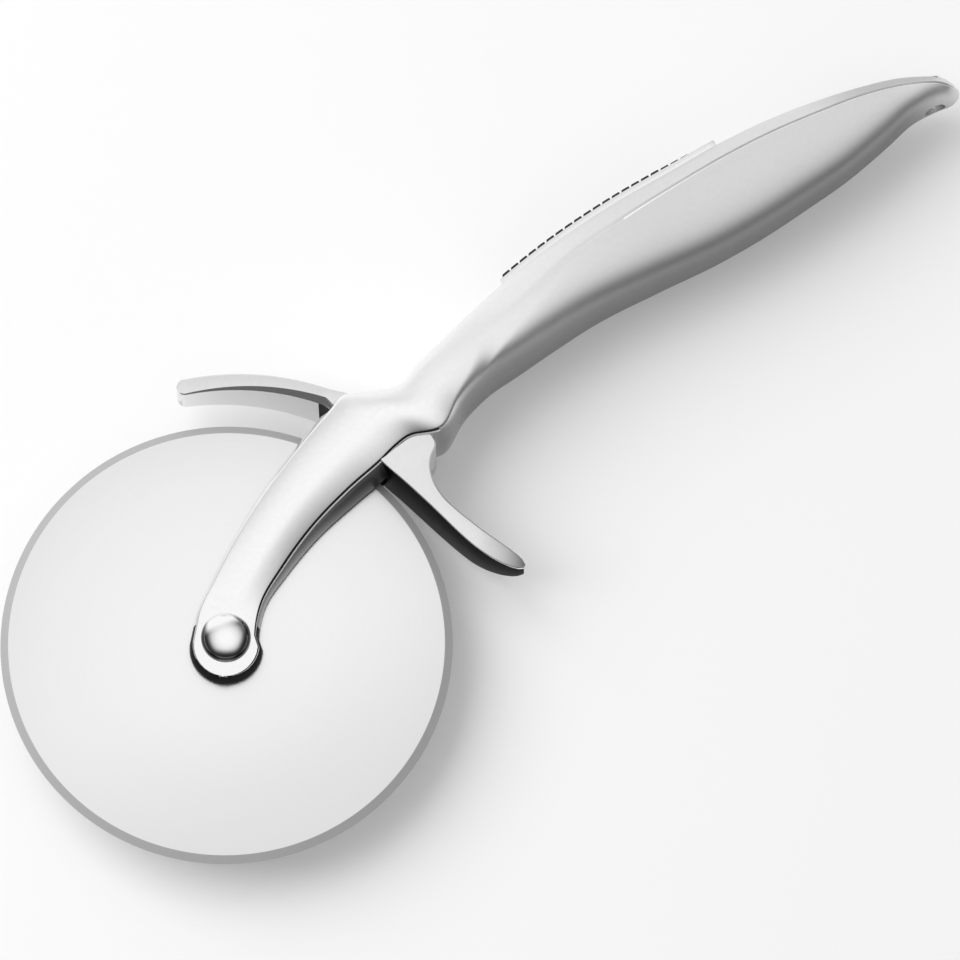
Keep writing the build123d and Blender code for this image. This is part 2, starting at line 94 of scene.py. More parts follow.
def finishPiece(piece, name, body, nodes, smoothAngle=35):
    pick(piece)
    bpy.ops.object.transform_apply(location=True, rotation=True, scale=True)
    bpy.ops.object.shade_smooth_by_angle(angle=radians(smoothAngle))
    piece.name = name
    piece.data.name = name
    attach(piece, body)
    if nodes:
        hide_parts(*nodes)
    return piece


def loftThrough(rings):
    # a circle is pulled to the first ring, then its edges are extruded ring after ring
    clearSelection()
    count = len(rings[0])
    bpy.ops.mesh.primitive_circle_add(vertices=count, radius=mm)
    piece = bpy.context.object
    for vertex, place in zip(piece.data.vertices, rings[0]):
        vertex.co = place
    bpy.ops.object.mode_set(mode="EDIT")
    bpy.ops.mesh.select_all(action="SELECT")
    for number, ring in enumerate(rings[1:]):
        bpy.ops.mesh.extrude_edges_move()
        shape = bmesh.from_edit_mesh(piece.data)
        shape.verts.ensure_lookup_table()
        for point in range(count):
            old = shape.verts[number * count + point]
            fresh = [edge.other_vert(old) for edge in old.link_edges]
            fresh = [vertex for vertex in fresh if vertex.select]
            fresh[0].co = ring[point]
    bmesh.update_edit_mesh(piece.data)
    bpy.ops.mesh.select_all(action="SELECT")
    bpy.ops.mesh.fill_holes(sides=0)
    bpy.ops.mesh.remove_doubles(threshold=mm * 0.002)
    bpy.ops.mesh.normals_make_consistent(inside=False)
    bpy.ops.object.mode_set(mode="OBJECT")
    return piece


def spinProfile(points, steps):
    # a ring of profile points, spun about the axle
    clearSelection()
    bpy.ops.mesh.primitive_circle_add(vertices=len(points), radius=mm)
    piece = bpy.context.object
    for vertex, (radius, height) in zip(piece.data.vertices, points):
        vertex.co = toScene(radius, 0, height)
    bpy.ops.object.mode_set(mode="EDIT")
    bpy.ops.mesh.select_all(action="SELECT")
    bpy.ops.mesh.spin(steps=steps, angle=2 * pi, center=axle, axis=(0, 0, 1))
    bpy.ops.mesh.select_all(action="SELECT")
    bpy.ops.mesh.remove_doubles(threshold=mm * 0.002)
    bpy.ops.mesh.normals_make_consistent(inside=False)
    bpy.ops.object.mode_set(mode="OBJECT")
    return piece


def cylinderAt(centre, radius, length, axis, vertices=64):
    clearSelection()
    bpy.ops.mesh.primitive_cylinder_add(
        vertices=vertices, radius=radius * mm, depth=length * mm, location=centre,
        rotation=Vector(axis).to_track_quat("Z", "Y").to_euler(),
    )
    piece = bpy.context.object
    bpy.ops.object.transform_apply(location=True, rotation=True, scale=True)
    return piece


# Curves in a section: points are (across towards the spine, up from the seam)

def alongCurve(curve, start, end, count):
    # evenly spaced points between two distances along a dense line of points
    lengths = [0.0]
    for before, after in zip(curve, curve[1:]):
        lengths.append(lengths[-1] + hypot(after[0] - before[0], after[1] - before[1]))
    start = min(start, lengths[-1] * 0.45)
    end = lengths[-1] - min(end, lengths[-1] * 0.45)
    found, index = [], 0
    for number in range(count):
        wanted = start + (end - start) * number / (count - 1)
        while index < len(curve) - 2 and lengths[index + 1] < wanted:
            index += 1
        span = lengths[index + 1] - lengths[index]
        part = (wanted - lengths[index]) / span if span > 0 else 0
        before, after = curve[index], curve[index + 1]
        found.append((
            before[0] + (after[0] - before[0]) * part, before[1] + (after[1] - before[1]) * part,
        ))
    return found


def roundCorner(before, corner, after, count):
    found = []
    for number in range(1, count + 1):
        part = number / (count + 1)
        first, middle, last = (1 - part) ** 2, 2 * part * (1 - part), part ** 2
        found.append((
            first * before[0] + middle * corner[0] + last * after[0],
            first * before[1] + middle * corner[1] + last * after[1],
        ))
    return found


# Handle and fork: one form, parted on the seam. Each row of armShares and handleShares
# is one section across the run.
castBody = {
    "armReach": 61.4, "armWidth": 15.0, "hubHeight": 5.4, "forkHeight": 12.3,
    "neckShare": (0.775, 0.950), "handleLength": 140.0, "handleWidth": 24.0, "handleHeight": 13.0,
    "bossFace": 7.4, "bossBulge": 1.0, "bossDrop": 1.5, "bossLean": 85.0, "bossRings": 9,
    "slotRadius": 52.6, "slotHalf": 1.95, "seamGap": 0.03, "ringStep": 1.3, "hubReach": 10.0,
    "grooveDepth": 0.38, "grooveStart": 0.14, "grooveFull": 0.34, "rollFrom": 0.6, "rollSoft": 0.1,
    # place x and y, lean, left and right width, rise, left swell, right swell, crown, then
    # in millimetres: roll of the face, roundings of left edge, right edge and its wall
    "armShares": (
        (-0.003, 0.008, 80, 0.453, 0.453, 0.00, 0.060, 0.060, 0.002, 0.0, 0.5, 0.4, 0.4),
        (0.005, 0.072, 77, 0.440, 0.440, 0.01, 0.060, 0.060, 0.004, 0.4, 0.5, 0.5, 0.4),
        (0.038, 0.171, 68, 0.393, 0.407, 0.12, 0.060, 0.060, 0.025, 1.3, 0.6, 0.7, 0.5),
        (0.119, 0.321, 59, 0.407, 0.420, 0.29, 0.080, 0.093, 0.050, 1.9, 0.6, 0.8, 0.6),
        (0.225, 0.480, 52, 0.433, 0.447, 0.46, 0.113, 0.133, 0.065, 2.1, 0.6, 0.8, 0.6),
        (0.360, 0.637, 48, 0.480, 0.493, 0.67, 0.133, 0.167, 0.070, 2.1, 0.6, 0.8, 0.6),
        (0.471, 0.749, 46, 0.533, 0.547, 0.86, 0.133, 0.147, 0.085, 1.8, 0.7, 0.8, 0.6),
        (0.524, 0.801, 45, 0.547, 0.547, 0.92, 0.120, 0.120, 0.095, 1.7, 0.8, 0.8, 0.6),
        (0.577, 0.824, 45, 0.467, 0.487, 0.95, 0.107, 0.100, 0.095, 1.6, 1.0, 0.8, 0.6),
        (0.712, 0.858, 46, 0.447, 0.480, 0.97, 0.100, 0.050, 0.080, 1.0, 1.2, 0.9, 1.4),
    ),
    # place x and y, lean, spine edge across and up, crease across and up, swell, drop,
    # crown, then roll and roundings as above
    "handleShares": (
        (0.000, 0.000, 49.0, 0.250, 0.92, -0.267, 0.88, 0.062, 0.050, 0.050, 0.5, 1.6, 1.4, 2.0),
        (0.039, 0.042, 45.5, 0.242, 0.88, -0.200, 0.92, 0.062, 0.125, 0.038, 0.2, 1.6, 1.8, 2.4),
        (0.081, 0.081, 41.5, 0.267, 0.81, -0.062, 0.97, 0.058, 0.288, 0.021, 0.0, 1.5, 2.0, 3.2),
        (0.147, 0.135, 37.5, 0.312, 0.69, 0.025, 0.99, 0.050, 0.412, 0.012, 0.0, 1.4, 1.6, 3.0),
        (0.216, 0.186, 34.5, 0.346, 0.62, 0.125, 0.98, 0.046, 0.538, 0.010, 0.0, 1.2, 1.2, 2.0),
        (0.314, 0.246, 31.0, 0.396, 0.58, 0.192, 0.95, 0.042, 0.650, 0.008, 0.0, 1.0, 0.8, 1.2),
        (0.414, 0.301, 29.7, 0.425, 0.55, 0.246, 0.91, 0.042, 0.733, 0.008, 0.0, 0.9, 0.7, 0.8),
        (0.488, 0.345, 30.0, 0.429, 0.54, 0.254, 0.88, 0.042, 0.742, 0.008, 0.0, 0.9, 0.6, 0.7),
        (0.561, 0.389, 30.0, 0.400, 0.52, 0.233, 0.84, 0.042, 0.692, 0.008, 0.0, 0.9, 0.6, 0.7),
        (0.636, 0.431, 29.5, 0.346, 0.50, 0.196, 0.78, 0.038, 0.596, 0.008, 0.0, 0.8, 0.6, 0.7),
        (0.710, 0.474, 28.5, 0.246, 0.48, 0.129, 0.71, 0.033, 0.429, 0.008, 0.0, 0.7, 0.6, 0.7),
        (0.761, 0.501, 24.0, 0.158, 0.46, 0.054, 0.65, 0.033, 0.267, 0.006, 0.0, 0.6, 0.6, 0.7),
        (0.789, 0.509, 17.0, 0.121, 0.45, 0.029, 0.63, 0.033, 0.208, 0.005, 0.0, 0.6, 0.6, 0.7),
        (0.816, 0.514, 12.0, 0.096, 0.38, 0.012, 0.54, 0.029, 0.158, 0.004, 0.0, 0.6, 0.6, 0.7),
        (0.838, 0.512, 6.0, 0.067, 0.25, 0.008, 0.35, 0.021, 0.104, 0.004, 0.0, 0.5, 0.5, 0.6),
        (0.848, 0.511, 4.0, 0.025, 0.09, 0.004, 0.13, 0.008, 0.038, 0.002, 0.0, 0.3, 0.3, 0.4),
    ),
    # points of a section where the fork's painted dark edge line, its painted bright line and its
    # wall of painted shade start, and the rows of the run where the line and the wall end. Then the
    # groove's side with a painted highlight: its points and the row where it starts.
    "darkLine": 31, "brightLine": 35, "wallPoint": 38, "lineRows": 9, "wallRows": 8,
    "glint": (35, 37, 15), "hubRise": 3.0,
    "screwSpots": ((34.08, 46.11), (91.54, 92.77), (136.62, 118.67)),
    "screwRadius": 2.8, "screwHead": 3.0, "screwReach": 20.0,
}
eyelet = {
    "middle": (159.967, 129.818, 0), "axis": (-0.25038, 0.968148, 0), "radius": 3.22, "bore": 2.5,
    "lip": 3.6, "lipThick": 0.8, "rounding": 0.25, "low": -2.6, "high": 3.4, "reach": 12.0,
}


def armRow(row):
    x, y, lean, left, right, rise, leftSwell, rightSwell, crown, roll, *roundings = row
    reach, width = castBody["armReach"], castBody["armWidth"]
    height = castBody["hubHeight"] + (castBody["forkHeight"] - castBody["hubHeight"]) * rise
    return [
        reach * x, reach * y, lean, width * left, height, -width * right, height,
        width * leftSwell, width * rightSwell, width * crown, roll, *roundings, 1.5, 1.0, 0,
    ]


def handleRow(row):
    x, y, lean, edge, edgeUp, crease, creaseUp, swell, drop, crown, roll, *roundings = row
    length, width, height = (castBody[key] for key in ("handleLength", "handleWidth", "handleHeight"))
    neckX, neckY = (castBody["armReach"] * share for share in castBody["neckShare"])
    fullness = min(1, max(0, (drop - 0.08) / 0.2))  # 0 at the neck's walls, 1 on the round belly
    start, full = castBody["grooveStart"], castBody["grooveFull"]
    groove = castBody["grooveDepth"] * min(1, max(0, (x - start) / (full - start)))
    return [
        neckX + length * x, neckY + length * y, lean, width * edge, height * edgeUp,
        width * crease, height * creaseUp, width * swell, width * drop, width * crown,
        roll, *roundings, 1.5 - 0.5 * fullness, 1.0 - 0.4 * fullness, groove,
    ]


def rollOff(part):
    # level up to rollFrom, then an even slope, with a soft bend between them
    past = part - castBody["rollFrom"]
    return hypot(past, castBody["rollSoft"]) + past


def sectionOf(row):
    # half of a section, from the spine's seam over the face to the belly's seam
    edge, edgeUp, crease, creaseUp, swell, drop, crown, roll = row[3:11]
    edgeRound, creaseRound, wallRound, bendAcross, bendUp, groove = row[11:17]
    swell = max(swell, 0.02)
    bowRadius = (edgeUp ** 2 + swell ** 2) / (2 * swell)
    bowTurn = atan2(edgeUp, bowRadius - swell)
    bowMiddle = edge + swell - bowRadius
    spine = [
        (bowMiddle + bowRadius * cos(bowTurn * n / 24), bowRadius * sin(bowTurn * n / 24))
        for n in range(25)
    ]
    face = []
    for n in range(33):
        part = n / 32
        lift = 4 * crown * part * (1 - part) - roll * rollOff(part) / rollOff(1)
        face.append((edge + (crease - edge) * part, edgeUp + (creaseUp - edgeUp) * part + lift))
    top = face[-1][1]
    wall = []
    for n in range(41):
        turn = pi / 2 * (1 - (1 - n / 40) ** 1.5)
        wall.append((crease - drop * sin(turn) ** bendAcross, top * max(cos(turn), 0) ** bendUp))
    before = alongCurve(spine, 0, edgeRound, 9)
    middle = alongCurve(face, edgeRound, creaseRound, 17)
    after = alongCurve(wall, wallRound, 0, 18)
    # a fine groove runs along the crease of the grip
    turned = [
        (across, up - groove * max(0, 1 - abs(number - 4) / 3))
        for number, (across, up) in enumerate(roundCorner(middle[-1], (crease, top), after[0], 9))
    ]
    return before + roundCorner(before[-1], (edge, edgeUp), middle[0], 4) + middle + turned + after


def placeSection(row, points, side):
    x, y, lean = row[0], row[1], radians(row[2])
    gap = castBody["seamGap"]
    return [
        toScene(x - sin(lean) * across, y + cos(lean) * across, side * max(up, gap))
        for across, up in points
    ]


def smoothRows(rows, step):
    # rows in between, on a smooth curve through all of them
    spans = [hypot(b[0] - a[0], b[1] - a[1]) for a, b in zip(rows, rows[1:])]
    slopes = []
    for number in range(len(rows)):
        here = rows[number]
        if 0 < number < len(rows) - 1:
            back, ahead = spans[number - 1], spans[number]
            slopes.append([
                ((v - p) / back * ahead + (n - v) / ahead * back) / (back + ahead)
                for p, v, n in zip(rows[number - 1], here, rows[number + 1])
            ])
        elif number == 0:
            slopes.append([(n - v) / spans[0] for v, n in zip(here, rows[1])])
        else:
            slopes.append([(v - p) / spans[-1] for p, v in zip(rows[-2], here)])
    found, marks = [], []
    for number, span in enumerate(spans):
        marks.append(len(found))
        count = max(2, round(span / step))
        for k in range(count):
            t = k / count
            h0, h1 = 2 * t ** 3 - 3 * t ** 2 + 1, t ** 3 - 2 * t ** 2 + t
            h2, h3 = -2 * t ** 3 + 3 * t ** 2, t ** 3 - t ** 2
            found.append([
                h0 * a + h1 * span * sa + h2 * b + h3 * span * sb
                for a, b, sa, sb in zip(rows[number], rows[number + 1], slopes[number], slopes[number + 1])
            ])
    marks.append(len(found))
    found.append(rows[-1])
    return found, marks


armRows = [armRow(row) for row in castBody["armShares"]]
handleRows = [handleRow(row) for row in castBody["handleShares"]]
runRows, runMarks = smoothRows(armRows + handleRows, castBody["ringStep"])


def bossRows():
    # the round end of the arm about the axle: first up its rim, then in over its face
    face, bulge, lean = (castBody[key] for key in ("bossFace", "bossBulge", "bossLean"))
    rings = castBody["bossRings"]
    spots = []
    for number in range(rings):
        turn = radians(90 * number / rings)
        spots.append((face + bulge * cos(turn), 0.3, castBody["hubHeight"] * max(sin(turn), 0.06)))
    for number in range(rings):
        turn = radians(4 + 86 * number / (rings - 1))
        spots.append((face * cos(turn), face * sin(turn), castBody["hubHeight"]))
    rows = []
    for back, half, height in spots:
        full = max((face + bulge) ** 2 - back ** 2, 0.0) ** 0.5
        row = list(armRows[0])
        row[0], row[1] = -cos(radians(lean)) * back, -castBody["bossDrop"] - sin(radians(lean)) * back
        row[2:7] = lean, half, height, -half, height
        row[7] = row[8] = max(full - half, 0.05)
        row[9] = row[10] = 0
        rows.append(row)
    return rows


def castShell(name, side, node):
    rows = bossRows() + runRows[1:]
    rings = [placeSection(row, sectionOf(row), side) for row in rows]
    piece = loftThrough(rings)
    markPaintedLightAndShade(piece, rings)
    # the slot's walls get the second finish, the painted wall shade
    slot = cylinderAt(axle, castBody["slotRadius"], 2 * castBody["slotHalf"], (0, 0, 1), 256)
    for _ in range(4):
        slot.data.materials.append(None)
    for face in slot.data.polygons:
        face.material_index = 1
    carve(piece, slot)
    middle, reach = Vector(eyelet["middle"]), eyelet["reach"]
    seat = middle + Vector(eyelet["axis"]) * (eyelet["low"] + reach / 2)
    carve(piece, cylinderAt(toScene(*seat), eyelet["radius"], reach, eyelet["axis"], 48))
    carve(piece, cylinderAt(toScene(*middle), eyelet["bore"], 2 * reach, eyelet["axis"], 48))
    if side < 0:
        for place in screwPlaces():
            carve(piece, cylinderAt(place, castBody["screwRadius"], castBody["screwReach"], (0, 0, 1), 48))
    return finishPiece(piece, name, "handle", [node])


def markPaintedLightAndShade(piece, rings):
    # marks where light and shade are painted: the dark line along the right edge of the fork and the wall
    # below it get painted shade, the bright line beside it and one side of the groove a painted highlight
    line, bright, wall = (castBody[key] for key in ("darkLine", "brightLine", "wallPoint"))
    glintStart, glintEnd, glintRow = castBody["glint"]
    lineEnd, wallEnd, glintFrom = (
        len(rings) - len(runRows) + runMarks[row]
        for row in (castBody["lineRows"], castBody["wallRows"], glintRow)
    )
    count = len(rings[0])
    tree = KDTree(len(rings) * count)
    for ringNumber, ring in enumerate(rings):
        for point, place in enumerate(ring):
            tree.insert(place, ringNumber * count + point)
    tree.balance()
    for _ in range(4):
        piece.data.materials.append(None)
    vertices = piece.data.vertices
    for face in piece.data.polygons:
        found = [tree.find(vertices[number].co)[1] for number in face.vertices]
        first, ring = min(number % count for number in found), max(found) // count
        onEdge = bright <= first < wall and ring < lineEnd
        inGroove = glintStart <= first < glintEnd and ring > glintFrom
        if line <= first < bright and ring < lineEnd:
            face.material_index = 2
        elif first >= wall and ring < wallEnd:
            face.material_index = 1
        elif onEdge or inGroove:
            face.material_index = 3


def screwPlaces():
    # middles of the recesses behind the three shell screws, from their heads upwards
    screws = frame["nodes"]["shell_screws"]
    places = []
    for x, y in castBody["screwSpots"]:
        spot = toScene(x, y, 0)
        low = min(
            vertex.z for vertex in (screws.matrix_world @ v.co for v in screws.data.vertices)
            if hypot(vertex.x - spot.x, vertex.y - spot.y) < castBody["screwRadius"] * mm
        )
        middle = low + (castBody["screwHead"] - castBody["screwReach"] / 2) * mm
        places.append(Vector((spot.x, spot.y, middle)))
    return places


frontShell = castShell("frontShell", 1, "front_shell")
rearShell = castShell("rearShell", -1, "rear_shell")
print("shells made,", len(runRows), "rings")


def makeEyelet():
    # a tube through the tail with a lip on the spine's side
    radius, bore, lip = (eyelet[key] for key in ("radius", "bore", "lip"))
    low, high, thick = (eyelet[key] for key in ("low", "high", "lipThick"))
    piece = cylinderAt(toScene(0, 0, (low + high) / 2), radius - 0.02, high - low, (0, 0, 1), 64)
    rim = cylinderAt(toScene(0, 0, high - thick / 2), lip, thick, (0, 0, 1), 64)
    applyModifier(rim, "BEVEL", width=eyelet["rounding"] * mm, segments=3, limit_method="ANGLE")
    applyModifier(piece, "BOOLEAN", object=rim, operation="UNION", solver="EXACT")
    bpy.data.objects.remove(rim)
    carve(piece, cylinderAt(axle, bore, 40, (0, 0, 1), 64))
    turned = Vector(eyelet["axis"]).to_track_quat("Z", "Y").to_matrix()
    for vertex in piece.data.vertices:
        vertex.co = toScene(*eyelet["middle"]) + turned @ (vertex.co - axle)
    return finishPiece(piece, "hangEyelet", "handle", ["hang_eyelet"])


hangEyelet = makeEyelet()
print("eyelet made")


# Blade: flat disc with a ground bevel on both sides, bare where a badge could be
blade = {"radius": 50.8, "half": 1.0, "bevel": 1.8, "edgeHalf": 0.1, "hole": 4.0, "steps": 256}


def makeBlade():
    flat = blade["radius"] - blade["bevel"]
    half, edge, hole = blade["half"], blade["edgeHalf"], blade["hole"]
    profile = [
        (hole, -half), (12, -half), (24, -half), (36, -half), (flat - 0.06, -half),
        (flat + 0.04, -half + 0.02), (blade["radius"], -edge), (blade["radius"], edge),
        (flat + 0.04, half - 0.02), (flat - 0.06, half), (36, half), (24, half), (12, half), (hole, half),
    ]
    piece = spinProfile(profile, blade["steps"])
    return finishPiece(piece, "bladeDisc", "wheel", ["blade"], 12)


bladeDisc = makeBlade()
print("blade made")


# Axle heads: a polished dome in front, the same with a hex socket behind
axleHeads = {
    "radius": 5.6, "seat": 5.4, "rise": 3.8, "band": 0.3, "edge": 0.1, "steps": 96, "domeSteps": 19,
    "shaft": 2.5, "shaftEnd": 2.1, "socket": 3.0, "socketDepth": 1.6, "over": 1.0,
}


def makeHead(name, side, node):
    radius, seat, rise, band = (axleHeads[key] for key in ("radius", "seat", "rise", "band"))
    shaft, end, depth, over = (axleHeads[key] for key in ("shaft", "shaftEnd", "socketDepth", "over"))
    profile = [(0, side * (seat + rise))]
    for number in range(1, axleHeads["domeSteps"]):
        turn = radians(90 * number / axleHeads["domeSteps"])
        profile.append((radius * sin(turn), side * (seat + band + (rise - band) * cos(turn))))
    profile += [
        (radius, side * (seat + band)), (radius - axleHeads["edge"], side * seat), (shaft, side * seat),
        (shaft, side * end), (0, side * end),
    ]
    piece = spinProfile(profile, axleHeads["steps"])
    if side < 0:
        top = toScene(0, 0, -seat - rise - over + depth / 2)
        corner = axleHeads["socket"] / 2 / cos(pi / 6)
        carve(piece, cylinderAt(top, corner, depth + 2 * over, (0, 0, 1), 6))
    return finishPiece(piece, name, "handle", [node])


frontHead = makeHead("frontHead", 1, "axle_barrel")
rearHead = makeHead("rearHead", -1, "axle_screw")
print("axle heads made")


# Finger guard: an arc to the left and stations to the right, each station with its wheel
# side, its hand side and half depth
guardBar = {
    "inner": 57.7, "outer": 61.4, "leftTip": 99.5, "leftRoot": 68.0, "tipDepth": 5.0, "rootDepth": 9.7,
    "tipRings": 6, "tipTurn": 8.0, "leftRings": 26, "rightStep": 1.2,
    "right": (
        ((28.0, 48.7), (36.0, 54.0), 9.6), ((32.0, 43.0), (43.0, 49.5), 9.6),
        ((35.3, 39.4), (46.9, 44.8), 9.6), ((38.9, 36.2), (45.9, 41.2), 9.6),
        ((41.6, 33.7), (45.75, 38.4), 9.7), ((43.9, 31.5), (46.5, 35.4), 9.7),
        ((46.5, 29.0), (48.6, 31.9), 9.6), ((49.3, 26.3), (51.6, 29.0), 9.2),
        ((52.5, 23.3), (54.7, 26.6), 8.5), ((55.9, 20.5), (58.0, 24.2), 7.7),
        ((59.4, 18.4), (61.4, 22.2), 6.3), ((63.0, 17.0), (64.6, 20.3), 4.6),
        ((65.4, 16.6), (66.5, 19.0), 3.3), ((66.8, 16.9), (67.2, 18.0), 2.6),
    ),
    # rounding of the corners, its largest share of a side, and the left wing's chamfer
    "rounding": 0.4, "roundShare": 0.45, "turns": 4, "cutTip": 0.25, "cutRoot": 1.5,
}


def guardRing(front, back, depth, cut):
    # a rectangle with rounded corners, upright over the line from front to back. With a
    # cut, the corners towards the wheel are chamfered that much.
    width = hypot(back[0] - front[0], back[1] - front[1])
    points = []
    for across, up, start in ((0, depth, 180), (width, depth, 90), (width, -depth, 0), (0, -depth, 270)):
        flat = cut if across == 0 else 0
        radius = min(flat or guardBar["rounding"], *(side * guardBar["roundShare"] for side in (width, depth)))
        middleAcross = radius if across == 0 else width - radius
        middleUp = up - radius if up > 0 else up + radius
        first, last = radians(start), radians(start - 90)
        for number in range(guardBar["turns"] + 1):
            part = number / guardBar["turns"]
            turn = first + (last - first) * part
            away, lift = cos(turn), sin(turn)
            if flat:
                away, lift = ((1 - part) * f(first) + part * f(last) for f in (cos, sin))
            points.append((middleAcross + radius * away, middleUp + radius * lift))
    ux, uy = ((back[0] - front[0]) / width, (back[1] - front[1]) / width)
    return [toScene(front[0] + ux * across, front[1] + uy * across, up) for across, up in points]


def makeGuard():
    stations = []
    middle = (guardBar["inner"] + guardBar["outer"]) / 2
    thick = guardBar["outer"] - guardBar["inner"]
    tipRings, tipTurn, steps = (guardBar[key] for key in ("tipRings", "tipTurn", "leftRings"))
    for number in range(tipRings):                # rounded left tip
        turn = radians(tipTurn + (90 - tipTurn) * number / tipRings)
        half = thick / 2 * sin(turn)
        angle = guardBar["leftTip"] + degrees(thick / 2 * cos(turn) / middle)
        place = (polar(middle - half, angle), polar(middle + half, angle))
        stations.append((*place, guardBar["tipDepth"], guardBar["cutTip"]))
    for number in range(steps + 1):
        part = number / steps
        angle = guardBar["leftTip"] + (guardBar["leftRoot"] - guardBar["leftTip"]) * part
        depth = guardBar["tipDepth"] + (guardBar["rootDepth"] - guardBar["tipDepth"]) * part
        cut = guardBar["cutTip"] + (guardBar["cutRoot"] - guardBar["cutTip"]) * part
        stations.append((polar(guardBar["inner"], angle), polar(guardBar["outer"], angle), depth, cut))
    rows = [[*front, *back, depth] for front, back, depth in guardBar["right"]]
    rightRows, _ = smoothRows(rows, guardBar["rightStep"])
    stations += [((row[0], row[1]), (row[2], row[3]), row[4], 0) for row in rightRows]
    piece = loftThrough([guardRing(*station) for station in stations])
    return finishPiece(piece, "fingerGuard", "handle", ["finger_guard"])


fingerGuard = makeGuard()
print("finger guard made")


# Thumb grip: rubber pad with ribs in a thin metal frame along the spine
thumbGrip = {
    "first": 13, "last": 17, "halfWidth": 5.45, "depth": 1.4, "base": 0.3, "rise": 1.1, "ribs": 22,
    "ribGap": 0.62, "ribRound": 0.16, "ribFoot": 0.1, "lowRibs": 6, "lowShare": 0.35, "bandRings": 40,
    "frameWall": 1.0, "frameProud": 0.65, "frameRound": 0.15, "gap": 0.05, "over": 4.0,
    "spineSteps": 240, "turnReach": 3,
}


def spineLine():
    # the pad starts one ring before its row
    rows = runRows[runMarks[thumbGrip["first"]] - 1:runMarks[thumbGrip["last"]] + 1]
    points = []
    for row in rows:
        lean, across = radians(row[2]), row[3] + row[7]
        points.append((row[0] - sin(lean) * across, row[1] + cos(lean) * across))
    return points


spinePoints = spineLine()
spineLength = sum(hypot(b[0] - a[0], b[1] - a[1]) for a, b in zip(spinePoints, spinePoints[1:]))
spineSpots = alongCurve(spinePoints, 0, 0, thumbGrip["spineSteps"] + 1)


def spineSpot(distance, out):
    # a place along the spine, moved outwards
    steps, reach = thumbGrip["spineSteps"], thumbGrip["turnReach"]
    index = min(steps, max(0, distance / spineLength * steps))
    low = min(steps - 1, int(index))
    before, after, part = spineSpots[low], spineSpots[low + 1], index - low
    x = before[0] + (after[0] - before[0]) * part
    y = before[1] + (after[1] - before[1]) * part
    near, far = spineSpots[max(0, low - reach)], spineSpots[min(steps, low + 1 + reach)]
    span = hypot(far[0] - near[0], far[1] - near[1])
    ux, uy = (far[0] - near[0]) / span, (far[1] - near[1]) / span
    return x - uy * out, y + ux * out


def spineBand(start, end, low, high, half, rounding, count):
    rings = []
    for number in range(count + 1):
        distance = start + (end - start) * number / count
        inner, outer = spineSpot(distance, low), spineSpot(distance, high)
        ring = []
        for out, up in ((0, half), (1, half), (1, -half), (0, -half)):
            place = outer if out else inner
            ring.append(toScene(*place, up))
        rings.append(ring)
    piece = loftThrough(rings)
    if rounding:
        applyModifier(piece, "BEVEL", width=rounding * mm, segments=2, limit_method="ANGLE")
    return piece


def makeGrip():
    wall, half, gap, over = (thumbGrip[key] for key in ("frameWall", "halfWidth", "gap", "over"))
    base, depth, rings, lowShare = (thumbGrip[key] for key in ("base", "depth", "bandRings", "lowShare"))
    start, end = wall + gap, spineLength - wall - gap
    pieces = [spineBand(start, end, -depth, base, half, 0, rings)]
    pitch = (end - start) / thumbGrip["ribs"]
    for number in range(thumbGrip["ribs"]):
        low = start + pitch * number + thumbGrip["ribGap"] / 2
        high = low + pitch - thumbGrip["ribGap"]
        fade = min(1, (thumbGrip["ribs"] - number) / thumbGrip["lowRibs"])    # the last ribs run out
        top = base + thumbGrip["rise"] * (lowShare + (1 - lowShare) * fade)
        pieces.append(spineBand(low, high, thumbGrip["ribFoot"], top, half, thumbGrip["ribRound"], 1))
    pad = finishPiece(joined(pieces), "thumbPad", "handle", ["thumb_grip"])
    proud, rounding = thumbGrip["frameProud"], thumbGrip["frameRound"]
    rim = spineBand(0, spineLength, -depth, proud, half + wall, rounding, rings)
    carve(rim, spineBand(wall, spineLength - wall, -over, over, half + gap, 0, rings))
    rim = finishPiece(rim, "padRim", "handle", ["grip_frame"])
    return pad, rim


thumbPad, padRim = makeGrip()
print("thumb grip made")


